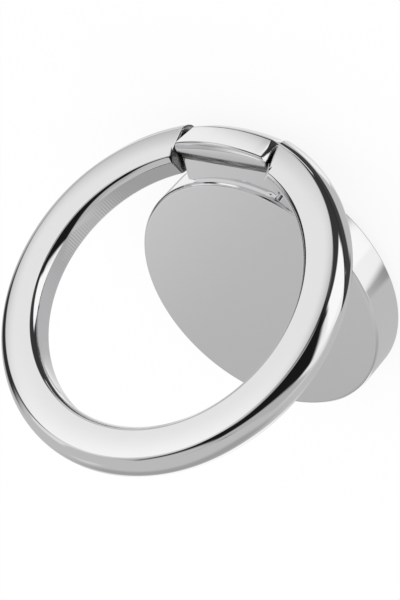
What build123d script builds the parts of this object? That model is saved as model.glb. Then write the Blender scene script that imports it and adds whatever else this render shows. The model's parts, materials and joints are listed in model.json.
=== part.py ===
"""Phone ring holder: a finger ring, hinged on a disc that swivels on an adhesive base.

Millimetres, +Z away from the phone. The origin is the centre of the adhesive face, and the hinge lies
towards +Y. The ring stands open by open_angle from its fold round the disc.
"""
import math
import os

from build123d import *

os.makedirs("parts", exist_ok=True)

# Disc
disc_diameter = 28.9
disc_thickness = 4.5
face_edge_radius = 0.4
back_edge_radius = 0.2
disc_wall = 1.45

# Finger ring
ring_clearance = 0.4
ring_band_width = 4.65
ring_flat_inset = 0.56
ring_flat_width = 3.0
ring_thickness = 3.5
ring_crown = 0.03
ring_bevel_depth = 0.65
ring_bevel_radius = 1.25
ring_recess = 0.25
ring_edge_radius = 0.35
ring_end_radius = 0.2
open_angle = 63.45

# Hinge
knuckle_width = 11.2
knuckle_edge_radius = 0.25
knuckle_foot_radius = 0.9
knuckle_end_radius = 0.8
knuckle_land = 1.92
land_back_radius = 0.5
knuckle_facet_height = 3.05
knuckle_undercut = 0.75
knuckle_back_step = 0.3
groove_depth = 0.7
groove_sweep = 1.2
neck_root_radius = 0.2
joint_gap = 0.25
hinge_inset = 3.15
hinge_rise = 1.2
pin_diameter = 1.2
pin_reach = 2.5
pin_end_chamfer = 0.12
sleeve_wall = 0.22
sleeve_slit = 0.25
sleeve_setback = 0.4
running_clearance = 0.02
seat_clearance = 0.01

# Swivel base
adhesive_inset = 0.8
adhesive_thickness = 0.8
plate_thickness = 1.2
plate_standoff = 0.2
plate_edge_chamfer = 0.15
plate_clearance = 0.2
spring_space = 1.0
boss_wall = 1.9
boss_clearance = 0.05
rivet_diameter = 3.0
rivet_head_overhang = 1.5
rivet_head_thickness = 0.5
rivet_head_clearance = 0.1
rivet_axial_clearance = 0.03
rivet_seat_depth = 2.1
swivel_clearance = 0.05
washer_clearance = 0.3
slip_washer_width = 4.3
slip_washer_thickness = 0.3
wave_washer_width = 3.9
wave_washer_thickness = 0.25
wave_washer_play = 0.02
wave_count = 3
points_per_wave = 8

# Levels above the phone
plate_z = adhesive_thickness
plate_top_z = plate_z + plate_thickness
disc_back_z = plate_z + plate_standoff
disc_face_z = disc_back_z + disc_thickness
ceiling_z = plate_top_z + spring_space
boss_z = plate_top_z + boss_clearance
groove_z = disc_face_z - groove_depth
knuckle_back_z = disc_back_z + knuckle_back_step
ring_front_z = disc_face_z - ring_recess
ring_mid_z = ring_front_z - ring_thickness / 2
hinge_z = ring_front_z - ring_thickness + hinge_rise

# Radii and places in the plane of the disc
disc_radius = disc_diameter / 2
recess_radius = disc_radius - disc_wall
ring_inner_radius = disc_radius + ring_clearance
ring_outer_radius = ring_inner_radius + ring_band_width
flat_inner_radius = ring_inner_radius + ring_flat_inset
flat_outer_radius = flat_inner_radius + ring_flat_width
hinge_y = ring_outer_radius - hinge_inset
land_y = ring_outer_radius - knuckle_land
ring_edge_height = ring_thickness / 2 - ring_crown
bore_wall_height = ring_thickness / 2 - ring_bevel_depth
ring_gap_width = knuckle_width + 2 * joint_gap
pin_radius = pin_diameter / 2
sleeve_inner_radius = pin_radius + running_clearance
sleeve_outer_radius = sleeve_inner_radius + sleeve_wall
pin_half_length = ring_gap_width / 2 + pin_reach
plate_radius = recess_radius - plate_clearance
rivet_radius = rivet_diameter / 2
rivet_head_radius = rivet_radius + rivet_head_overhang
boss_radius = rivet_radius + boss_wall
washer_inner_radius = boss_radius + washer_clearance

# Plane of the opened ring: the fold turned about the hinge, so that the far end lifts
open_cos = math.cos(math.radians(open_angle))
open_sin = math.sin(math.radians(open_angle))
fold_offset_z = ring_mid_z - hinge_z
ring_centre_y = hinge_y - hinge_y * open_cos + fold_offset_z * open_sin
ring_centre_z = hinge_z + hinge_y * open_sin + fold_offset_z * open_cos
ring_plane = Plane((0, ring_centre_y, ring_centre_z), x_dir=(1, 0, 0), z_dir=(0, open_sin, open_cos))
ring_section_plane = Plane(ring_plane.origin, x_dir=ring_plane.y_dir, z_dir=ring_plane.x_dir)


def hinge_plane(x):
    """Plane across the hinge axis at x, looking along +X."""
    return Plane((x, hinge_y, hinge_z), x_dir=(0, 1, 0), z_dir=(1, 0, 0))


# Knuckle and neck: a straight bar with a groove, turned to the ring's outline
with BuildPart() as knuckle:
    with BuildSketch(Plane.YZ):
        with BuildLine():
            Polyline(
                (land_y, disc_face_z),
                (ring_outer_radius, disc_face_z),
                (ring_outer_radius, knuckle_back_z),
                (0, knuckle_back_z),
                (0, groove_z),
                (land_y - groove_sweep, groove_z),
            )
            TangentArc((land_y - groove_sweep, groove_z), (land_y, disc_face_z), tangent=(1, 0))
        make_face()
    extrude(amount=knuckle_width / 2, both=True)
    with BuildSketch(Plane.XZ) as turned_section:
        with BuildLine():
            Polyline(
                (disc_radius - disc_wall / 2, knuckle_back_z),
                (ring_outer_radius - knuckle_undercut, knuckle_back_z),
                (ring_outer_radius, disc_face_z - knuckle_facet_height),
                (ring_outer_radius, disc_face_z),
                (disc_radius - disc_wall / 2, disc_face_z),
                close=True,
            )
        make_face()
        facet_foot = turned_section.vertices().group_by(Axis.X)[-1].sort_by(Axis.Y)[0]
        fillet(facet_foot, knuckle_foot_radius)
    revolve(axis=Axis.Z, mode=Mode.INTERSECT)
    facet_foot_undercut = knuckle.faces().filter_by(GeomType.PLANE, reverse=True).sort_by(Axis.Y)[-3:]
    end_corners = knuckle.faces().filter_by(Axis.X).edges() & facet_foot_undercut.edges()
    fillet(end_corners, knuckle_end_radius)
    land_back_edge = knuckle.faces().sort_by(Axis.Z)[-1].edges().sort_by(Axis.Y)[0]
    fillet(land_back_edge, land_back_radius)
    fillet(knuckle.faces().sort_by(Axis.Z)[-1].edges(), knuckle_edge_radius)

# Disc with its neck and knuckle, hollow underneath for the swivel
with BuildPart() as disc_body:
    with BuildSketch(Plane.XZ):
        with BuildLine():
            Polyline(
                (0, disc_face_z),
                (disc_radius, disc_face_z),
                (disc_radius, disc_back_z),
                (recess_radius, disc_back_z),
                (recess_radius, ceiling_z),
                (boss_radius, ceiling_z),
                (boss_radius, boss_z),
                (rivet_radius + seat_clearance, boss_z),
                (rivet_radius + seat_clearance, boss_z + rivet_seat_depth),
                (0, boss_z + rivet_seat_depth),
                close=True,
            )
        make_face()
    revolve(axis=Axis.Z)
    fillet(disc_body.faces().sort_by(Axis.Z)[-1].edges(), face_edge_radius)
    fillet(disc_body.faces().sort_by(Axis.Z)[0].edges().sort_by(SortBy.RADIUS)[-1], back_edge_radius)
    add(knuckle.part)
    neck_roots = disc_body.edges(Select.LAST).filter_by(Axis.Z).group_by(Axis.Y)[0]
    fillet(neck_roots, neck_root_radius)
    with BuildSketch(hinge_plane(-knuckle_width / 2)):
        Circle(sleeve_outer_radius + seat_clearance)
    extrude(amount=knuckle_width, mode=Mode.SUBTRACT)

# Finger ring: slightly crowned faces, round outer wall, bevelled bore, open at the knuckle
with BuildPart() as finger_ring:
    with BuildSketch(ring_section_plane) as ring_section:
        with BuildLine():
            bore_wall = Line((ring_inner_radius, 0), (ring_inner_radius, bore_wall_height))
            bevel = RadiusArc(bore_wall @ 1, (flat_inner_radius, ring_edge_height), ring_bevel_radius)
            crown_top = ((flat_inner_radius + flat_outer_radius) / 2, ring_thickness / 2)
            crown = ThreePointArc(bevel @ 1, crown_top, (flat_outer_radius, ring_edge_height))
            TangentArc((ring_outer_radius, 0), crown @ 1, tangent=(0, 1))
            mirror(about=Plane.XZ)
        make_face()
        face_rows = ring_section.vertices().group_by(Axis.Y)
        fillet(face_rows[0] + face_rows[-1], ring_edge_radius)
    revolve(axis=Axis(ring_plane.origin, ring_plane.z_dir))
    with BuildSketch(ring_plane):
        with Locations((0, ring_outer_radius)):
            Rectangle(ring_gap_width, 2 * ring_outer_radius - ring_inner_radius)
    extrude(amount=ring_thickness, both=True, mode=Mode.SUBTRACT)
    fillet(finger_ring.faces().filter_by(Axis.X).edges(), ring_end_radius)
    with BuildSketch(hinge_plane(-ring_outer_radius)):
        Circle(pin_radius + seat_clearance)
    extrude(amount=ring_outer_radius + pin_half_length + seat_clearance, mode=Mode.SUBTRACT)

# Hinge pin, pressed in from the left arm
with BuildPart() as hinge_pin:
    with BuildSketch(hinge_plane(-pin_half_length)):
        Circle(pin_radius)
    extrude(amount=2 * pin_half_length)
    chamfer(hinge_pin.faces().filter_by(Axis.X).edges(), pin_end_chamfer)

# Split sleeve that grips the pin
with BuildPart() as friction_sleeve:
    with BuildSketch(hinge_plane(sleeve_setback - knuckle_width / 2)):
        Circle(sleeve_outer_radius)
        Circle(sleeve_inner_radius, mode=Mode.SUBTRACT)
        with Locations((0, -sleeve_outer_radius)):
            Rectangle(sleeve_slit, 2 * sleeve_outer_radius, mode=Mode.SUBTRACT)
    extrude(amount=knuckle_width - 2 * sleeve_setback)

# Base plate that stays on the phone
with BuildPart() as base_plate:
    with BuildSketch(Plane.XY.offset(plate_z)):
        Circle(plate_radius)
    extrude(amount=plate_thickness)
    chamfer(base_plate.faces().filter_by(Axis.Z).edges(), plate_edge_chamfer)
    with Locations(Plane((0, 0, plate_z), z_dir=(0, 0, -1))):
        CounterBoreHole(
            radius=rivet_radius + swivel_clearance,
            counter_bore_radius=rivet_head_radius + rivet_head_clearance,
            counter_bore_depth=rivet_head_thickness + 2 * rivet_axial_clearance,
        )

# Shouldered rivet, pressed into the boss
with BuildPart() as swivel_rivet:
    with BuildSketch(Plane.XY.offset(plate_z + rivet_axial_clearance)):
        Circle(rivet_head_radius)
    extrude(amount=rivet_head_thickness)
    with BuildSketch(swivel_rivet.faces().sort_by(Axis.Z)[-1]):
        Circle(rivet_radius)
    extrude(until=Until.NEXT, target=disc_body.part)

# Flat plastic washer on the base plate
with BuildPart() as slip_washer:
    with BuildSketch(Plane.XY.offset(plate_top_z)):
        Circle(washer_inner_radius + slip_washer_width)
        Circle(washer_inner_radius, mode=Mode.SUBTRACT)
    extrude(amount=slip_washer_thickness)

# Spring washer with a wave round its circle
wave_low_z = plate_top_z + slip_washer_thickness + wave_washer_play
wave_height = ceiling_z - wave_washer_play - wave_washer_thickness - wave_low_z


def wave_edge(radius):
    """Closed wavy edge of the spring washer at a radius."""
    steps = wave_count * points_per_wave
    points = []
    for step in range(steps):
        turn = 2 * math.pi * step / steps
        height = wave_low_z + wave_height * (1 + math.cos(wave_count * turn)) / 2
        points.append((radius * math.cos(turn), radius * math.sin(turn), height))
    return Spline(*points, periodic=True, mode=Mode.PRIVATE)


with BuildPart() as wave_washer:
    inner_wave = wave_edge(washer_inner_radius)
    outer_wave = wave_edge(washer_inner_radius + wave_washer_width)
    wave_face = Face.make_surface_from_curves(inner_wave.edge(), outer_wave.edge())
    extrude(wave_face, amount=wave_washer_thickness, dir=(0, 0, 1))

# Pad of double-sided tape
with BuildPart() as adhesive_pad:
    with BuildSketch():
        Circle(plate_radius - adhesive_inset)
    extrude(amount=adhesive_thickness)

disc_body.part.label = "disc_body"
finger_ring.part.label = "finger_ring"
hinge_pin.part.label = "hinge_pin"
friction_sleeve.part.label = "friction_sleeve"
base_plate.part.label = "base_plate"
swivel_rivet.part.label = "swivel_rivet"
slip_washer.part.label = "slip_washer"
wave_washer.part.label = "wave_washer"
adhesive_pad.part.label = "adhesive_pad"

export_step(disc_body.part, "parts/disc_body.step")
export_step(finger_ring.part, "parts/finger_ring.step")
export_step(hinge_pin.part, "parts/hinge_pin.step")
export_step(friction_sleeve.part, "parts/friction_sleeve.step")
export_step(base_plate.part, "parts/base_plate.step")
export_step(swivel_rivet.part, "parts/swivel_rivet.step")
export_step(slip_washer.part, "parts/slip_washer.step")
export_step(wave_washer.part, "parts/wave_washer.step")
export_step(adhesive_pad.part, "parts/adhesive_pad.step")
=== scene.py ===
"""Castings and finishes of a phone ring holder, and the light tent that its chrome plate mirrors."""
import json
import math
from collections import namedtuple

import bmesh
import bpy
from bpy.props import FloatProperty, FloatVectorProperty, PointerProperty
from mathutils import Matrix, Vector


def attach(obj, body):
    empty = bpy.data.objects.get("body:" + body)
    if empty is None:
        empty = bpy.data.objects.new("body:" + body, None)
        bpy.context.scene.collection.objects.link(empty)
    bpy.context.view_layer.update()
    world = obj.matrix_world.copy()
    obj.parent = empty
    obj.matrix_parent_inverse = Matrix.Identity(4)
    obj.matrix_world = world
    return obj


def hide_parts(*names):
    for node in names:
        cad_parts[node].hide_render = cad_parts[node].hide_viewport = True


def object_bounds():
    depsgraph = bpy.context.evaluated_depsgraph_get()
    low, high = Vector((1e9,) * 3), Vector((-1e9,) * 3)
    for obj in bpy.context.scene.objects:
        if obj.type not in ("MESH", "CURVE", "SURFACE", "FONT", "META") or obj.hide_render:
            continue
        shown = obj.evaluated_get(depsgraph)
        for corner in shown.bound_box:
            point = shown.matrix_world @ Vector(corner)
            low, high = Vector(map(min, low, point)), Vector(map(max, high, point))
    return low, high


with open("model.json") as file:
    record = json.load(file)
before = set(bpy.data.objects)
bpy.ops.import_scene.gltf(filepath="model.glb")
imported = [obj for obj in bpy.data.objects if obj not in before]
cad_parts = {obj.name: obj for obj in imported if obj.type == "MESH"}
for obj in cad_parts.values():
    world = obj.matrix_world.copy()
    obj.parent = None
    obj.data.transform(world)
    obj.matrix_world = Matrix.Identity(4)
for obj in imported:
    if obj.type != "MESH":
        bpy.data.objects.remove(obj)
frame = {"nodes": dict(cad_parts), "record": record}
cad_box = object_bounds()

bl_info = {
    "name": "Phone ring holder",
    "version": (1, 0, 0),
    "blender": (4, 5, 0),
    "location": "3D View > Sidebar > Ring holder",
    "description": "Dresses the ring holder's pieces and sets up the light tent round them",
    "category": "Object",
}

MM = 0.001
RING_FOLD = next(joint for joint in frame["record"]["behaviour"]["joints"] if joint["name"] == "ring_fold")

# How finely the castings and the stage are drawn.
SECTION_STEP = 0.16 * MM
RING_STEPS = 256
RING_EDGE_SEGMENTS = 4
RING_END_SEGMENTS = 8
DISC_STEPS = 192
KNUCKLE_CUTS = 40
KNUCKLE_END_SEGMENTS = 10
KNUCKLE_EDGE_SEGMENTS = 6
ROD_SIDES = 48
FLOOR_SIDES = 96
TENT_SUBDIVISIONS = 5

# The nearest and farthest that the camera sees, in metres.
CAMERA_RANGE = (0.01, 10.0)

# A round bevel, and the rise of a quarter circle over its chord as a share of its radius.
ROUND = {"profile": 0.5, "material": -1}
QUARTER_RISE = 1 - math.sqrt(0.5)

# Margins for telling points, edges and faces apart.
MERGE = 1e-4 * MM
BEND_MARGIN = 0.1 * MM
MARK_MARGIN = 0.02 * MM
END_MARGIN = 0.08 * MM
CREASE_ANGLE = math.radians(20)
TOP_EDGE_ANGLE = math.radians(45)

Finish = namedtuple("Finish", "tint smooth rough")
Relief = namedtuple("Relief", "depth strength")
Card = namedtuple("Card", "name left right bottom top fade lean tilt glow")

# How much a finish's pattern shades its colour, and the range of roughness over the pattern.
CHROME = Finish(0.01, 0.03, 0.06)
GROUND = Finish(0.06, 0.22, 0.34)
ROLLED = Finish(0.1, 0.3, 0.45)
STAMPED = Finish(0.12, 0.38, 0.52)
ACETAL = Finish(0.02, 0.38, 0.5)
FOAM = Finish(0.3, 0.8, 0.95)
PLASTIC_IOR = 1.48

# In the knuckle's hollow and the hinge gaps the plate is rough, and at least this share of it is dull and
# darkened with painted shade.
HOLLOW_ROUGHNESS = 0.4
SHADE_COVER = 0.35

# How deep the finishes' patterns are, and how much of that the light shows.
BUFFING = Relief(0.02 * MM, 0.02)
TOOL_MARKS = Relief(0.006 * MM, 1.0)
GRINDING = Relief(0.01 * MM, 0.2)
MOULDING = Relief(0.01 * MM, 0.15)
PORES = Relief(0.05 * MM, 0.6)

# How much patterns are drawn out along X, Y and Z: the smaller, the longer.
# The streaks of the painted shade in the knuckle's hollow and the hinge gaps.
SHADE_STREAK_STRETCH = (0.06, 1, 1)
GRINDING_STRETCH = (1, 0.1, 0.1)
ROLLING_STRETCH = (0.08, 1, 1)

# What hangs in the light tent, each in front of those before it. Sides are directions from the holder in
# degrees: left and right are azimuths from +X, bottom and top are elevations. Fade is the soft margin inside
# the sides, lean is how much a card rises for each degree of azimuth, tilt is how much it slides along the
# azimuth for each degree up, and glow is its brightness.
TENT_CARDS = (
    Card("dusk_cloth", -144, -35, -10, 48, 23, 0, 0.15, 0.37),
    Card("face_card", -152, -133, 27, 52, 9, 0, 0, 0.68),
    Card("fill_cloth", -37, 58, -36, 26, 24, 0, 0, 0.87),
    Card("table_flag", -50, 134, -66, -37, 6, 0, 1.45, 0.05),
    Card("side_flag", 45, 113, -46, 7, 4, -0.1, 0, 0.04),
    Card("high_flag", 1, 137, -1, 70, 8, 0, 0.2, 0.01),
    Card("rear_card", 70, 104, 8, 50, 10, 0, 0, 0.4),
    Card("slanted_cloth", -30, 54, 22, 66, 12, 1, 0, 0.47),
    Card("softbox_wing", -14, 19, -47, 2, 3, -0.3, 0.55, 0.96),
    Card("softbox", 0, 62, -43, -3, 5, 0.2, 0, 1.05),
    Card("foot_flag", -35, 162, -47, -40, 2, 0, 0, 0.03),
    Card("left_softbox", -131, -77, -34, 1, 13, 0, 0, 1.07),
    Card("back_flag", 128, 201, -15, 26, 11, -0.3, 0, 0.03),
    Card("inner_card", 91, 143, 12, 62, 8, 0.25, 0, 0.48),
    Card("front_card", 113, 136, -3, 22, 7, 0.1, 0, 0.85),
    Card("front_strip", 114, 136, 6, 24, 8, 0, 0, 1),
    Card("knuckle_card", 96, 207, -42, -35, 2.8, 0, 0, 0.94),
    Card("lip_card", 92, 179, 24, 43, 3, 0, 0, 0.75),
    Card("ground_card", 92, 236, -100, -64, 8, 0, 0, 0.95),
    Card("low_back_card", 167, 244, -80, -40, 7, 0, 0, 0.8),
)


def linear(hex_colour):
    """Turns an sRGB hex colour into the linear values that Blender's sockets hold."""
    parts = [int(hex_colour[i:i + 2], 16) / 255 for i in (1, 3, 5)]
    return tuple(p / 12.92 if p <= 0.04045 else ((p + 0.055) / 1.055) ** 2.4 for p in parts)


def scale_of(size_mm):
    """Texture scale, on coordinates in metres, that makes a pattern's features this many millimetres wide."""
    return 1 / (size_mm * MM)


def add_node(tree, kind, sockets=(), **settings):
    """Adds a node, sets it up, and fills its sockets, given as name or number, with values or links."""
    node = tree.nodes.new(kind)
    for name, value in settings.items():
        setattr(node, name, value)
    for socket, value in dict(sockets).items():
        if isinstance(value, bpy.types.NodeSocket):
            tree.links.new(value, node.inputs[socket])
        else:
            node.inputs[socket].default_value = value
    return node


def new_material(name):
    """An empty node material with its output node."""
    material = bpy.data.materials.new(name)
    material.use_nodes = True
    tree = material.node_tree
    tree.nodes.clear()
    return material, tree, add_node(tree, "ShaderNodeOutputMaterial")


def dress(material, *nodes):
    """Puts a finish on CAD nodes."""
    for node in nodes:
        mesh = frame["nodes"][node].data
        mesh.materials.clear()
        mesh.materials.append(material)


def grain(tree, size_mm, stretch=(1, 1, 1), detail=2.0):
    """Noise on the piece's own coordinates with features of a real size, drawn out along the axes."""
    place = add_node(tree, "ShaderNodeTexCoord").outputs["Object"]
    drawn = add_node(tree, "ShaderNodeMapping", {"Vector": place, "Scale": stretch}).outputs["Vector"]
    noise = {"Vector": drawn, "Scale": scale_of(size_mm), "Detail": detail}
    return add_node(tree, "ShaderNodeTexNoise", noise).outputs["Fac"]


def calc(tree, operation, *values):
    """Adds a maths node on values or links, and returns its result."""
    return add_node(tree, "ShaderNodeMath", enumerate(values), operation=operation).outputs[0]


def between(tree, pattern, low, high):
    """Spreads a pattern's middle half over a range of values."""
    spread = {"Value": pattern, "From Min": 0.25, "From Max": 0.75, "To Min": low, "To Max": high}
    return add_node(tree, "ShaderNodeMapRange", spread).outputs["Result"]


def mixed(tree, factor, first, second):
    """Mixes two colours, given as values or links."""
    ends = {"Factor": factor, "A": first, "B": second}
    return add_node(tree, "ShaderNodeMix", ends, data_type="RGBA").outputs["Result"]


def tinted(tree, pattern, colour, share):
    """A colour that a pattern makes a little darker and a little lighter."""
    dark, light = ([min(1, part * level) for part in colour] for level in (1 - share, 1 + share))
    return mixed(tree, pattern, (*dark, 1), (*light, 1))


def patterned(tree, pattern, colour, finish):
    """Colour and roughness of a surface, varied by a pattern."""
    return {
        "Base Color": tinted(tree, pattern, colour, finish.tint),
        "Roughness": between(tree, pattern, finish.smooth, finish.rough),
    }


def raised(tree, pattern, relief, under=None):
    """The normal of a surface, or of the relief under it, on which a pattern stands out."""
    bump = {"Height": pattern, "Strength": relief.strength, "Distance": relief.depth}
    if under:
        bump["Normal"] = under
    return add_node(tree, "ShaderNodeBump", bump).outputs["Normal"]


def coat(tree, output, surface):
    """Links a surface shader with these sockets to a material's output."""
    shader = add_node(tree, "ShaderNodeBsdfPrincipled", surface)
    tree.links.new(shader.outputs["BSDF"], output.inputs["Surface"])


def chrome_plate(look):
    """Bright chrome on polished zinc castings: a mirror with no colour of its own.

    The eye sees the tent in it. The buffed casting under the plate makes straight reflections waver slightly.
    The buffing wheel doesn't reach the knuckle's hollow and the faces in the hinge gaps, which stay dull and
    are darkened with painted shade in streaks, nor the ring's bore, where the tool's marks show. They are
    drawn coarser than real ones, to show.
    """
    material, tree, output = new_material("chrome_plated_zinc")
    # The hollow mark picks the faces in the knuckle's hollow and the hinge gaps, which take painted shade.
    bore, arc, hollow = (
        add_node(tree, "ShaderNodeAttribute", attribute_name=name).outputs["Fac"]
        for name in ("bore", "bore_arc", "hollow")
    )
    haze = grain(tree, look.chrome_haze, detail=3.0)
    plate = patterned(tree, haze, look.chrome_colour, CHROME)
    # Painted shade: the marked faces are mixed towards a dark shade colour, in streaks, and turn rough.
    streaks = grain(tree, look.shade_streak, stretch=SHADE_STREAK_STRETCH)
    dull = calc(tree, "MULTIPLY", hollow, between(tree, streaks, SHADE_COVER, 1.0))
    roughness = {"Factor": dull, "A": plate["Roughness"], "B": HOLLOW_ROUGHNESS}
    waves = raised(tree, grain(tree, look.chrome_buffing, detail=1.0), BUFFING)
    phase = calc(tree, "MULTIPLY", arc, 2 * math.pi * scale_of(look.tool_mark))
    ridges = calc(tree, "MULTIPLY", calc(tree, "SINE", phase), bore)
    surface = {
        # The plate's colour, darkened by the painted shade where the hollow mark is.
        "Base Color": mixed(tree, dull, plate["Base Color"], (*look.painted_shade_colour, 1)),
        "Roughness": add_node(tree, "ShaderNodeMix", roughness).outputs["Result"],
        "Metallic": 1.0,
        "Normal": raised(tree, ridges, TOOL_MARKS, under=waves),
    }
    coat(tree, output, surface)
    return material


def ground_steel(look):
    """Centreless-ground steel of the pin and rivet: fine rings round the axis, satin rather than mirror."""
    material, tree, output = new_material("ground_steel")
    rings = grain(tree, look.grinding_width, stretch=GRINDING_STRETCH)
    surface = patterned(tree, rings, look.pin_colour, GROUND)
    coat(tree, output, {**surface, "Metallic": 1.0, "Normal": raised(tree, rings, GRINDING)})
    return material


def rolled_spring_steel(look):
    """Cold-rolled spring strip of the sleeve and washer: dark, with faint streaks along the rolling."""
    material, tree, output = new_material("rolled_spring_steel")
    streaks = grain(tree, look.rolling_width, stretch=ROLLING_STRETCH)
    coat(tree, output, {**patterned(tree, streaks, look.spring_colour, ROLLED), "Metallic": 1.0})
    return material


def stamped_steel(look):
    """Stamped sheet steel of the base plate: dull grey with a mottled zinc wash."""
    material, tree, output = new_material("stamped_sheet_steel")
    mottle = grain(tree, look.mottle_width, detail=4.0)
    coat(tree, output, {**patterned(tree, mottle, look.plate_colour, STAMPED), "Metallic": 1.0})
    return material


def natural_acetal(look):
    """Uncoloured acetal of the slip washer: milky white, waxy, with a faint moulded grain."""
    material, tree, output = new_material("natural_acetal")
    skin = grain(tree, look.acetal_grain, detail=3.0)
    surface = patterned(tree, skin, look.acetal_colour, ACETAL)
    coat(tree, output, {**surface, "IOR": PLASTIC_IOR, "Normal": raised(tree, skin, MOULDING)})
    return material


def foam_tape(look):
    """Acrylic foam tape of the pad: near black, matt, with the pores of the foam at its cut edge."""
    material, tree, output = new_material("acrylic_foam_tape")
    place = add_node(tree, "ShaderNodeTexCoord").outputs["Object"]
    foam = {"Vector": place, "Scale": scale_of(look.foam_cell)}
    cells = add_node(tree, "ShaderNodeTexVoronoi", foam).outputs["Distance"]
    surface = patterned(tree, cells, look.foam_colour, FOAM)
    coat(tree, output, {**surface, "IOR": PLASTIC_IOR, "Normal": raised(tree, cells, PORES)})
    return material


def pale_floor(stage):
    """Matt white paper: plain white to the eye, darkened a little where the holder shades it."""
    material, tree, output = new_material("matt_white_paper")
    seen = add_node(tree, "ShaderNodeLightPath").outputs["Is Camera Ray"]
    share = calc(tree, "MULTIPLY", seen, stage.floor_glow)
    paper = add_node(tree, "ShaderNodeBsdfDiffuse", {"Color": (*stage.floor_colour, 1)}).outputs["BSDF"]
    glow = add_node(tree, "ShaderNodeEmission", {"Color": (1, 1, 1, 1), "Strength": 1.0}).outputs["Emission"]
    mix = add_node(tree, "ShaderNodeMixShader", {0: share, 1: paper, 2: glow})
    tree.links.new(mix.outputs["Shader"], output.inputs["Surface"])
    return material


def tent_cloth(stage, centre):
    """Pale tent cloth with softboxes, flags and cards hung in it, each an even tone with soft margins."""
    material, tree, output = new_material("tent_cloth")
    place = add_node(tree, "ShaderNodeTexCoord").outputs["Object"]
    outward = add_node(tree, "ShaderNodeVectorMath", {0: place, 1: centre}, operation="SUBTRACT").outputs[0]
    outward = add_node(tree, "ShaderNodeVectorMath", {0: outward}, operation="NORMALIZE").outputs[0]
    axes = add_node(tree, "ShaderNodeSeparateXYZ", {0: outward}).outputs
    azimuth = calc(tree, "ARCTAN2", axes["Y"], axes["X"])
    elevation = calc(tree, "ARCSINE", axes["Z"])
    tone = stage.tent_glow
    for card in TENT_CARDS:
        middle = math.radians(card.left + card.right) / 2
        level = math.radians(card.bottom + card.top) / 2
        across = calc(tree, "WRAP", calc(tree, "SUBTRACT", azimuth, middle), math.pi, -math.pi)
        above = calc(tree, "SUBTRACT", elevation, level)
        sideways = calc(tree, "MULTIPLY_ADD", above, -card.tilt, across)
        upwards = calc(tree, "MULTIPLY_ADD", across, -card.lean, above)
        cover = 1.0
        for offset, low, high in ((sideways, card.left, card.right), (upwards, card.bottom, card.top)):
            half_side = (high - low) / 2
            margin = {
                "Value": calc(tree, "ABSOLUTE", offset),
                "From Min": math.radians(half_side),
                "From Max": math.radians(half_side - card.fade),
            }
            inside = add_node(tree, "ShaderNodeMapRange", margin, interpolation_type="SMOOTHSTEP").outputs[0]
            cover = calc(tree, "MULTIPLY", inside, cover)
        tone = add_node(tree, "ShaderNodeMix", {"Factor": cover, "A": tone, "B": card.glow}).outputs[0]
    cloth = add_node(tree, "ShaderNodeEmission", {"Strength": tone})
    tree.links.new(cloth.outputs["Emission"], output.inputs["Surface"])
    return material


def new_object(name, bm):
    """Makes an object of a bmesh."""
    mesh = bpy.data.meshes.new(name)
    bm.to_mesh(mesh)
    bm.free()
    thing = bpy.data.objects.new(name, mesh)
    bpy.context.scene.collection.objects.link(thing)
    return thing


def whole(bm):
    """All parts of a bmesh."""
    return bm.verts[:] + bm.edges[:] + bm.faces[:]


def stand_for(thing, node, body, material):
    """Puts a plated casting in the place of its CAD node."""
    thing.data.materials.clear()
    thing.data.materials.append(material)
    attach(thing, body)
    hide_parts(node)


def trace_section(bm, start, runs):
    """Draws a closed section in the YZ plane, clockwise, and returns the ends of its runs.

    A run is its end and the rise of its arc over the straight line, which is 0 for a straight run and below 0
    for a hollow.
    """
    vert = bm.verts.new((0, *start))
    ends = []
    for end, rise in runs:
        end = Vector((0, *end))
        half = (end - vert.co) / 2
        if rise:
            reach = (half.length_squared - rise ** 2) / (2 * rise)
            centre = vert.co + half + half.cross((1, 0, 0)).normalized() * reach
            turn = -2 * math.atan(half.length / reach)
            steps = math.ceil(2 * half.length / SECTION_STEP)
            arc = {"cent": centre, "axis": (1, 0, 0), "angle": turn, "steps": steps}
            vert = bmesh.ops.spin(bm, geom=[vert], **arc)["geom_last"][0]
        else:
            vert = bmesh.ops.extrude_vert_indiv(bm, verts=[vert])["verts"][0]
            vert.co = end
        ends.append(vert)
    bmesh.ops.remove_doubles(bm, verts=bm.verts, dist=MERGE)
    return ends


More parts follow.
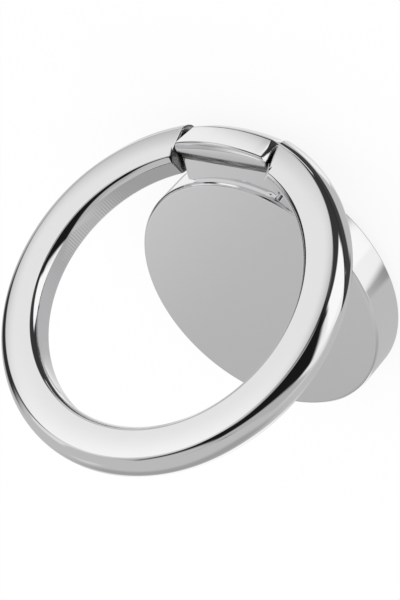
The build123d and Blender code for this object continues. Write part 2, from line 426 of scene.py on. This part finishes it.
def spin_ring(sizes):
    """The ring round the Z axis: one half, spun from its arm's end, and its mirror image."""
    bm = bmesh.new()
    inner, outer = sizes.ring_inner, sizes.ring_outer
    flat_inner = inner + sizes.ring_flat_inset
    flat_outer = flat_inner + sizes.ring_flat_width
    edge = sizes.ring_thickness / 2 - sizes.ring_crown
    wall = sizes.ring_thickness / 2 - sizes.ring_bevel_depth
    runs = (
        ((inner, 0), 0),
        ((inner, wall), 0),
        ((flat_inner, edge), sizes.ring_bevel_rise),
        ((flat_outer, edge), sizes.ring_crown),
        ((flat_outer, -edge), outer - flat_outer),
        ((flat_inner, -edge), sizes.ring_crown),
        ((inner, -wall), sizes.ring_bevel_rise),
    )
    face_edges = trace_section(bm, (inner, -wall), runs)[2:6]
    rounding = {"offset": sizes.ring_edge_setback, "segments": RING_EDGE_SEGMENTS, **ROUND}
    bmesh.ops.bevel(bm, geom=face_edges, affect="VERTICES", **rounding)
    half_turn = {"axis": (0, 0, 1), "angle": -math.pi, "steps": RING_STEPS // 2}
    bmesh.ops.spin(bm, geom=bm.verts[:] + bm.edges[:], **half_turn)
    half_gap = sizes.ring_gap / 2
    for vert in bm.verts:
        radius = math.hypot(vert.co.x, vert.co.y)
        start = math.asin(half_gap / radius)
        turn = start + math.atan2(abs(vert.co.x), vert.co.y) * (1 - start / math.pi)
        vert.co.x = radius * math.sin(turn)
        vert.co.y = radius * math.cos(turn)
    end_edges = [edge for edge in bm.edges if edge.is_boundary and edge.verts[0].co.y > 0]
    bmesh.ops.contextual_create(bm, geom=end_edges)
    rounding = {"offset": sizes.ring_end_radius, "segments": RING_END_SEGMENTS, **ROUND}
    bmesh.ops.bevel(bm, geom=end_edges, affect="EDGES", **rounding)
    bmesh.ops.mirror(bm, geom=whole(bm), axis="X", merge_dist=MERGE)
    bmesh.ops.recalc_face_normals(bm, faces=bm.faces)
    return bm


def cast_ring(sizes):
    """The finger ring, opened as in the photograph, with its pin's bore, the regions of its finish, and its
    arms' ends marked to take painted shade.
    """
    hinge = Vector(RING_FOLD["pos_m"])
    opened = Matrix.Rotation(math.radians(RING_FOLD["range_deg"][0]), 4, "X")
    folded = Matrix.Translation(Vector((0, 0, sizes.ring_fold_height)) - hinge)
    placing = Matrix.Translation(hinge) @ opened @ folded
    bm = spin_ring(sizes)
    bmesh.ops.transform(bm, matrix=placing, verts=bm.verts)
    ring = new_object("ring_casting", bm)
    rod = hinge_bore(sizes.pin_bore_radius, -sizes.ring_outer, sizes.pin_bore_end)
    join(ring, new_object("pin_bore", rod), "DIFFERENCE")

    unplaced = placing.inverted()
    points = [unplaced @ vert.co for vert in ring.data.vertices]
    bore_limit = sizes.ring_inner + MARK_MARGIN
    mark(ring, "bore", "POINT", [math.hypot(p.x, p.y) < bore_limit and p.z < MARK_MARGIN for p in points])
    mark(ring, "bore_arc", "POINT", [sizes.ring_inner * (math.atan2(-p.x, -p.y) + math.pi) for p in points])
    # The arms' ends, which face the hinge gaps, are marked to take painted shade.
    end_limit = sizes.ring_gap / 2 + END_MARGIN
    centres = [unplaced @ face.center for face in ring.data.polygons]
    mark(ring, "hollow", "FACE", [p.y > 0 and abs(p.x) < end_limit for p in centres])
    shade(ring)
    return ring


def mark(thing, name, domain, values):
    """Gives each vertex or face a number for the finish to read."""
    thing.data.attributes.new(name, "FLOAT", domain).data.foreach_set("value", values)


def hinge_bore(radius, left, right):
    """A rod along the hinge axis, to cut a bore with."""
    bm = bmesh.new()
    middle = Vector(RING_FOLD["pos_m"]) + Vector(((left + right) / 2, 0, 0))
    along = Matrix.Translation(middle) @ Matrix.Rotation(math.pi / 2, 4, "Y")
    size = {"radius1": radius, "radius2": radius, "depth": right - left}
    bmesh.ops.create_cone(bm, cap_ends=True, segments=ROD_SIDES, matrix=along, **size)
    return bm


def join(thing, tool, operation):
    """Adds one closed object to another, or cuts it out, and removes it."""
    step = thing.modifiers.new("join", "BOOLEAN")
    step.operation = operation
    step.solver = "EXACT"
    step.object = tool
    result = thing.evaluated_get(bpy.context.evaluated_depsgraph_get())
    thing.data = bpy.data.meshes.new_from_object(result)
    thing.modifiers.clear()
    bpy.data.objects.remove(tool)


def shade(thing):
    """Shades rounds smooth, flats flat up to their edges, and keeps the creases."""
    thing.data.shade_smooth()
    thing.data.set_sharp_from_angle(angle=CREASE_ANGLE)
    flats = thing.modifiers.new("true_flats", "WEIGHTED_NORMAL")
    flats.keep_sharp = True


def cast_disc(sizes):
    """The disc with its neck and knuckle in one skin, their bore, and the regions of its finish that take
    painted shade.
    """
    disc = new_object("disc_casting", spin_disc(sizes))
    join(disc, new_object("knuckle_bar", form_knuckle(sizes)), "UNION")
    rod = hinge_bore(sizes.sleeve_bore_radius, -sizes.knuckle_width, sizes.knuckle_width)
    join(disc, new_object("sleeve_bore", rod), "DIFFERENCE")
    # The groove between neck and knuckle and the knuckle's ends in the hinge gaps are marked to take painted
    # shade.
    low, high = sizes.face_height - sizes.groove_depth, sizes.face_height - MARK_MARGIN
    near, far = sizes.groove_start + MARK_MARGIN, sizes.groove_start + sizes.groove_radius
    end = sizes.knuckle_width / 2 - MARK_MARGIN
    centres = [face.center for face in disc.data.polygons]
    in_groove = [near < p.y < far and low < p.z < high and abs(p.x) < end for p in centres]
    at_end = [sizes.disc_radius < p.y and abs(p.x) > end for p in centres]
    mark(disc, "hollow", "FACE", [groove or side for groove, side in zip(in_groove, at_end)])
    shade(disc)
    return disc


def spin_disc(sizes):
    """The disc alone, hollow underneath for the swivel."""
    bm = bmesh.new()
    face, back, radius = sizes.face_height, sizes.back_height, sizes.disc_radius
    seat_top = sizes.boss_height + sizes.rivet_seat_depth
    runs = (
        ((radius - sizes.face_edge_radius, face), 0),
        ((radius, face - sizes.face_edge_radius), sizes.face_edge_radius * QUARTER_RISE),
        ((radius, back + sizes.back_edge_radius), 0),
        ((radius - sizes.back_edge_radius, back), sizes.back_edge_radius * QUARTER_RISE),
        ((sizes.recess_radius, back), 0),
        ((sizes.recess_radius, sizes.ceiling_height), 0),
        ((sizes.boss_radius, sizes.ceiling_height), 0),
        ((sizes.boss_radius, sizes.boss_height), 0),
        ((sizes.rivet_seat_radius, sizes.boss_height), 0),
        ((sizes.rivet_seat_radius, seat_top), 0),
        ((0, seat_top), 0),
    )
    trace_section(bm, (0, face), runs)
    round_z = {"axis": (0, 0, 1), "angle": 2 * math.pi, "steps": DISC_STEPS, "use_merge": True}
    bmesh.ops.spin(bm, geom=bm.verts[:] + bm.edges[:], **round_z)
    bmesh.ops.remove_doubles(bm, verts=bm.verts, dist=MERGE)
    bmesh.ops.recalc_face_normals(bm, faces=bm.faces)
    return bm


def draw_knuckle(sizes):
    """The neck and knuckle as a straight bar with a groove across it, and where its flat land starts."""
    bm = bmesh.new()
    face, back, outer = sizes.face_height, sizes.knuckle_back_height, sizes.ring_outer
    root = sizes.disc_radius - sizes.neck_root_depth
    floor = face - sizes.groove_depth
    hollow, brow = sizes.groove_radius, sizes.land_back_radius
    slope = math.acos(1 - sizes.groove_depth / (hollow + brow))
    hollow_rise = hollow * (1 - math.cos(slope / 2))
    brow_rise = brow * (1 - math.cos(slope / 2))
    hollow_end = sizes.groove_start + hollow * math.sin(slope)
    land_start = hollow_end + brow * math.sin(slope)
    foot = face - sizes.facet_height
    lean = math.atan2(sizes.undercut, foot - back)
    setback = sizes.foot_radius * math.tan(lean / 2)
    foot_end = (outer - setback * math.sin(lean), foot - setback * math.cos(lean))
    runs = (
        ((root, floor), 0),
        ((sizes.groove_start, floor), 0),
        ((hollow_end, floor + hollow * (1 - math.cos(slope))), -hollow_rise),
        ((land_start, face), brow_rise),
        ((outer, face), 0),
        ((outer, foot + setback), 0),
        (foot_end, sizes.foot_radius * (1 - math.cos(lean / 2))),
        ((outer - sizes.undercut, back), 0),
        ((root, back), 0),
    )
    trace_section(bm, (root, back), runs)
    half_width = sizes.knuckle_width / 2
    bmesh.ops.translate(bm, vec=(-half_width, 0, 0), verts=bm.verts)
    end = bmesh.ops.contextual_create(bm, geom=bm.edges[:])["faces"]
    block = bmesh.ops.extrude_face_region(bm, geom=end, use_keep_orig=True)["geom"]
    far_verts = [part for part in block if isinstance(part, bmesh.types.BMVert)]
    bmesh.ops.translate(bm, vec=(2 * half_width, 0, 0), verts=far_verts)
    bmesh.ops.recalc_face_normals(bm, faces=bm.faces)
    return bm, land_start


def form_knuckle(sizes):
    """The neck and knuckle: their bar, rounded, cut into narrow strips and bent to the ring's outline."""
    bm, land_start = draw_knuckle(sizes)
    root = sizes.disc_radius - sizes.neck_root_depth
    floor = sizes.face_height - sizes.groove_depth
    half_width = sizes.knuckle_width / 2
    across = [edge for edge in bm.edges if edge.verts[0].co.x == edge.verts[1].co.x]
    past_land = [edge for edge in across if min(v.co.y for v in edge.verts) > land_start]
    corners = [edge for edge in past_land if min(v.co.z for v in edge.verts) < sizes.face_height]
    rounding = {"offset": sizes.knuckle_end_setback, "segments": KNUCKLE_END_SEGMENTS, **ROUND}
    bmesh.ops.bevel(bm, geom=corners, affect="EDGES", **rounding)
    top_edges = [
        edge for edge in bm.edges
        if min(v.co.z for v in edge.verts) > floor - MERGE and edge.calc_face_angle(0) > TOP_EDGE_ANGLE
        and not (edge.verts[0].co.y < root + MERGE and edge.verts[1].co.y < root + MERGE)
    ]
    rounding = {"offset": sizes.knuckle_edge_radius, "segments": KNUCKLE_EDGE_SEGMENTS, **ROUND}
    bmesh.ops.bevel(bm, geom=top_edges, affect="EDGES", **rounding)
    for cut in range(1, KNUCKLE_CUTS):
        place = (half_width * (2 * cut / KNUCKLE_CUTS - 1), 0, 0)
        bmesh.ops.bisect_plane(bm, geom=whole(bm), plane_co=place, plane_no=(1, 0, 0))
    for vert in bm.verts:
        if vert.co.y > land_start + BEND_MARGIN:
            widen_end(vert.co, sizes)
            vert.co.y = math.sqrt(vert.co.y ** 2 - vert.co.x ** 2)
    return bm


def widen_end(point, sizes):
    """Moves a point of the knuckle's end rounding, so that it is narrow at the lip and wide at the foot."""
    setback = sizes.knuckle_end_setback
    inset = sizes.knuckle_width / 2 - abs(point.x)
    out = (point.y - sizes.ring_outer) / setback + 1
    if inset < setback and out > 0:
        down = min(max((sizes.face_height - point.z) / sizes.facet_height, 0), 1)
        width = sizes.lip_end_share + (sizes.foot_end_share - sizes.lip_end_share) * down
        point.x = math.copysign(sizes.knuckle_width / 2 - inset * (1 + (width - 1) * out), point.x)


def stage_mesh(name, bm, material):
    """Makes a stage object of a bmesh."""
    thing = new_object(name, bm)
    thing.data.materials.append(material)
    return thing


def add_floor(stage):
    """The floor under the holder. In its place the plate mirrors the tent, as if the holder were held up."""
    bm = bmesh.new()
    bmesh.ops.create_circle(bm, cap_ends=True, segments=FLOOR_SIDES, radius=stage.floor_radius)
    floor = stage_mesh("floor", bm, pale_floor(stage))
    floor.visible_glossy = False


def add_tent(stage, centre):
    """The light tent, which only the holder's reflections show."""
    bm = bmesh.new()
    sphere = {"subdivisions": TENT_SUBDIVISIONS, "radius": stage.tent_radius}
    bmesh.ops.create_icosphere(bm, matrix=Matrix.Translation(centre), **sphere)
    tent = stage_mesh("light_tent", bm, tent_cloth(stage, centre))
    tent.visible_camera = False
    tent.visible_diffuse = False
    tent.visible_transmission = False
    tent.visible_shadow = False


def add_world():
    """Even white daylight at a plain level."""
    world = bpy.data.worlds.new("white_studio")
    world.use_nodes = True
    background = world.node_tree.nodes["Background"].inputs
    background["Color"].default_value = (1, 1, 1, 1)
    background["Strength"].default_value = 1.0
    bpy.context.scene.world = world


def add_camera(stage):
    """The camera, at the photograph's angle."""
    data = bpy.data.cameras.new("photo_camera")
    data.lens = stage.lens
    data.sensor_width = stage.sensor_width
    data.clip_start, data.clip_end = CAMERA_RANGE
    camera = bpy.data.objects.new("photo_camera", data)
    camera.location = stage.camera_place
    camera.rotation_euler = stage.camera_turn
    bpy.context.scene.collection.objects.link(camera)
    bpy.context.scene.camera = camera


def colour_property(name, description, hex_colour):
    """A colour property with a default in sRGB."""
    return FloatVectorProperty(
        name=name, description=description, subtype="COLOR", min=0.0, max=1.0, default=linear(hex_colour)
    )


def grain_property(name, description, size_mm):
    """A pattern's width, in millimetres."""
    return FloatProperty(name=name, description=description, min=0.01, default=size_mm)


def size_property(name, description, size_mm):
    """A length property with a default in millimetres."""
    length = {"subtype": "DISTANCE", "unit": "LENGTH", "min": 0.0, "precision": 5}
    return FloatProperty(name=name, description=description, default=size_mm * MM, **length)


def share_property(name, description, share):
    """A share of another size."""
    return FloatProperty(name=name, description=description, subtype="FACTOR", min=0.0, default=share)


class HolderCastings(bpy.types.PropertyGroup):
    """Sizes of the finger ring and of the disc with its knuckle."""

    ring_inner: size_property("Ring inside", "Inside radius of the ring", 14.85)
    ring_outer: size_property("Ring outside", "Outside radius of the ring", 19.5)
    ring_thickness: size_property("Ring thickness", "Thickness of the ring across its faces", 3.5)
    ring_flat_inset: size_property("Flat inset", "From the bore to the ring's face", 0.56)
    ring_flat_width: size_property("Flat width", "Width of the ring's face", 3.0)
    ring_crown: size_property("Crown", "How much the ring's face bulges", 0.03)
    ring_bevel_depth: size_property("Bevel depth", "How deep the bore's bevel reaches", 0.65)
    ring_bevel_rise: size_property("Bevel rise", "How much the bore's bevel bulges", 0.072)
    ring_edge_setback: size_property("Edge setback", "Reach of the rounding of the face's edges", 0.076)
    ring_end_radius: size_property("End radius", "Rounding round the arms' ends", 0.2)
    ring_gap: size_property("Ring gap", "From one arm's end to the other", 11.7)
    ring_fold_height: size_property("Fold height", "Height of the folded ring's middle over the phone", 3.5)
    pin_bore_radius: size_property("Pin bore", "Radius of the bore for the hinge pin", 0.61)
    pin_bore_end: size_property("Pin bore end", "How far the pin's bore reaches into the right arm", 8.36)
    disc_radius: size_property("Disc radius", "Radius of the disc", 14.45)
    face_height: size_property("Face height", "Height of the disc's face over the phone", 5.5)
    back_height: size_property("Back height", "Height of the disc's back over the phone", 1.0)
    face_edge_radius: size_property("Face edge", "Rounding of the disc's face edge", 0.4)
    back_edge_radius: size_property("Back edge", "Rounding of the disc's back edge", 0.2)
    recess_radius: size_property("Recess radius", "Radius of the recess under the disc", 13.0)
    ceiling_height: size_property("Ceiling height", "Height of the recess's ceiling over the phone", 3.0)
    boss_radius: size_property("Boss radius", "Radius of the boss round the rivet", 3.4)
    boss_height: size_property("Boss height", "Height of the boss's end over the phone", 2.05)
    rivet_seat_radius: size_property("Rivet seat", "Radius of the hole that holds the rivet", 1.51)
    rivet_seat_depth: size_property("Seat depth", "Depth of the hole that holds the rivet", 2.1)
    neck_root_depth: size_property("Neck root", "How deep the neck is rooted in the disc's wall", 0.725)
    knuckle_width: size_property("Knuckle width", "Width of the neck and knuckle", 11.2)
    knuckle_back_height: size_property("Knuckle back", "Height of the knuckle's back over the phone", 1.3)
    groove_depth: size_property("Groove depth", "Depth of the neck under the disc's face", 0.7)
    groove_start: size_property("Groove start", "Where the neck's floor starts to rise to the knuckle", 16.38)
    groove_radius: size_property("Groove radius", "Radius of the hollow between neck and knuckle", 1.3786)
    land_back_radius: size_property("Land back edge", "Rounding of the edge over the hollow", 0.5)
    facet_height: size_property("Facet height", "Height of the knuckle's outer face", 3.05)
    undercut: size_property("Undercut", "How far the knuckle draws in under its outer face", 0.75)
    foot_radius: size_property("Foot radius", "Rounding between the outer face and the undercut", 0.9)
    knuckle_end_setback: size_property("End setback", "Reach of the rounding of the knuckle's ends", 0.65)
    lip_end_share: share_property("Lip share", "Width of the end rounding at the lip over its depth", 0.35)
    foot_end_share: share_property("Foot share", "Width of the end rounding at the foot over its depth", 1.3)
    knuckle_edge_radius: size_property("Knuckle edge", "Rounding round the knuckle's top", 0.25)
    sleeve_bore_radius: size_property("Sleeve bore", "Radius of the bore for the friction sleeve", 0.85)


class HolderFinishes(bpy.types.PropertyGroup):
    """Colours of the finishes and of the painted shade in the hollows, and the widths of their patterns in
    millimetres.
    """

    chrome_colour: colour_property("Chrome", "Colour of the chrome plate", "#F3F3F4")
    chrome_buffing: grain_property("Buffing width", "Width of the buffing waves under the plate, in mm", 6.0)
    chrome_haze: grain_property("Haze width", "Width of the faint haze on the plate, in mm", 1.5)
    tool_mark: grain_property("Tool marks", "Spacing of the marks across the ring's bore, in mm", 0.3)
    # The colour of the painted shade in the knuckle's hollow and the hinge gaps, and the width of its
    # streaks.
    painted_shade_colour: colour_property("Hollow", "Colour of the dull plate in the hollow and gaps", "#48484A")
    shade_streak: grain_property("Hollow streaks", "Width of the streaks in the dull plate, in mm", 0.12)
    pin_colour: colour_property("Ground steel", "Colour of the hinge pin and the rivet", "#B9B9BB")
    grinding_width: grain_property("Grinding width", "Width of the grinding rings, in mm", 0.08)
    spring_colour: colour_property("Spring steel", "Colour of the sleeve and the wave washer", "#8F8F92")
    rolling_width: grain_property("Rolling width", "Width of the rolling streaks, in mm", 0.15)
    plate_colour: colour_property("Sheet steel", "Colour of the base plate", "#A3A4A6")
    mottle_width: grain_property("Mottle width", "Width of the mottled zinc wash, in mm", 0.9)
    acetal_colour: colour_property("Acetal", "Colour of the slip washer", "#ECEAE2")
    acetal_grain: grain_property("Acetal grain", "Width of the moulded grain, in mm", 0.2)
    foam_colour: colour_property("Foam tape", "Colour of the adhesive pad", "#202021")
    foam_cell: grain_property("Foam cell", "Width of a foam cell, in mm", 0.18)


class HolderStage(bpy.types.PropertyGroup):
    """The floor, the light tent and the camera."""

    floor_colour: colour_property("Floor", "Colour of the floor", "#FFFFFF")
    floor_glow: FloatProperty(
        name="Floor glow", description="Share of the floor's white that no shadow takes", subtype="FACTOR",
        min=0.0, max=1.0, default=0.88,
    )
    floor_radius: FloatProperty(
        name="Floor radius", description="Radius of the floor", subtype="DISTANCE", unit="LENGTH", default=3.0
    )
    tent_glow: FloatProperty(
        name="Tent glow", description="Brightness of the tent's cloth", min=0.0, default=0.54
    )
    tent_radius: FloatProperty(
        name="Tent radius", description="Radius of the tent", subtype="DISTANCE", unit="LENGTH", default=2.0
    )
    camera_place: FloatVectorProperty(
        name="Camera place", description="Where the camera stands", subtype="TRANSLATION", unit="LENGTH",
        default=(0.148915, 0.159539, 0.172861),
    )
    camera_turn: FloatVectorProperty(
        name="Camera turn", description="How the camera is turned", subtype="EULER", unit="ROTATION",
        default=tuple(math.radians(a) for a in (-45.0214, 32.5206, -15.9024)),
    )
    lens: FloatProperty(
        name="Lens", description="Focal length, in mm, of the photograph's perspective", unit="CAMERA",
        default=157.09,
    )
    sensor_width: FloatProperty(
        name="Sensor", description="Sensor size, in mm, along the photograph's long side", unit="CAMERA",
        default=36.0,
    )


class HOLDER_OT_castings(bpy.types.Operator):
    """Casts the finger ring and the disc and plates them with chrome"""

    bl_idname = "ring_holder.castings"
    bl_label = "Cast and plate"

    def execute(self, context):
        chrome = chrome_plate(context.scene.holder_finishes)
        stand_for(cast_ring(context.scene.holder_castings), "finger_ring", "ring", chrome)
        stand_for(cast_disc(context.scene.holder_castings), "disc_body", "disc", chrome)
        return {"FINISHED"}


class HOLDER_OT_hinge(bpy.types.Operator):
    """Finishes the steel pieces of the hinge and of the swivel"""

    bl_idname = "ring_holder.hinge"
    bl_label = "Finish the hinge and swivel"

    def execute(self, context):
        look = context.scene.holder_finishes
        dress(ground_steel(look), "hinge_pin", "swivel_rivet")
        dress(rolled_spring_steel(look), "friction_sleeve", "wave_washer")
        return {"FINISHED"}


class HOLDER_OT_base(bpy.types.Operator):
    """Finishes the base plate, the slip washer and the adhesive pad"""

    bl_idname = "ring_holder.base"
    bl_label = "Finish the base"

    def execute(self, context):
        look = context.scene.holder_finishes
        dress(stamped_steel(look), "base_plate")
        dress(natural_acetal(look), "slip_washer")
        dress(foam_tape(look), "adhesive_pad")
        return {"FINISHED"}


class HOLDER_OT_stage(bpy.types.Operator):
    """Sets up the floor, the light tent and the camera"""

    bl_idname = "ring_holder.stage"
    bl_label = "Set up the stage"

    def execute(self, context):
        stage = context.scene.holder_stage
        centre = (cad_box[0] + cad_box[1]) / 2
        add_floor(stage)
        add_tent(stage, centre)
        add_world()
        add_camera(stage)
        context.scene.view_settings.view_transform = "Standard"
        return {"FINISHED"}


class HOLDER_PT_panel(bpy.types.Panel):
    """Lists the castings, the finishes, the stage and the steps"""

    bl_idname = "HOLDER_PT_panel"
    bl_label = "Ring holder"
    bl_space_type = "VIEW_3D"
    bl_region_type = "UI"
    bl_category = "Ring holder"

    def draw(self, context):
        scene = context.scene
        for group in (scene.holder_castings, scene.holder_finishes, scene.holder_stage):
            for name in group.__annotations__:
                self.layout.prop(group, name)
        for operator in OPERATORS:
            self.layout.operator(operator.bl_idname)


OPERATORS = (HOLDER_OT_castings, HOLDER_OT_hinge, HOLDER_OT_base, HOLDER_OT_stage)
CLASSES = (HolderCastings, HolderFinishes, HolderStage, *OPERATORS, HOLDER_PT_panel)


def register():
    """Adds the classes and the scene's properties to Blender."""
    for cls in CLASSES:
        bpy.utils.register_class(cls)
    bpy.types.Scene.holder_castings = PointerProperty(type=HolderCastings)
    bpy.types.Scene.holder_finishes = PointerProperty(type=HolderFinishes)
    bpy.types.Scene.holder_stage = PointerProperty(type=HolderStage)


def unregister():
    """Removes what register added."""
    del bpy.types.Scene.holder_stage
    del bpy.types.Scene.holder_finishes
    del bpy.types.Scene.holder_castings
    for cls in reversed(CLASSES):
        bpy.utils.unregister_class(cls)


def main():
    """Dresses the holder."""
    register()
    bpy.ops.ring_holder.castings()
    bpy.ops.ring_holder.hinge()
    bpy.ops.ring_holder.base()
    bpy.ops.ring_holder.stage()


if __name__ == "__main__":
    main()
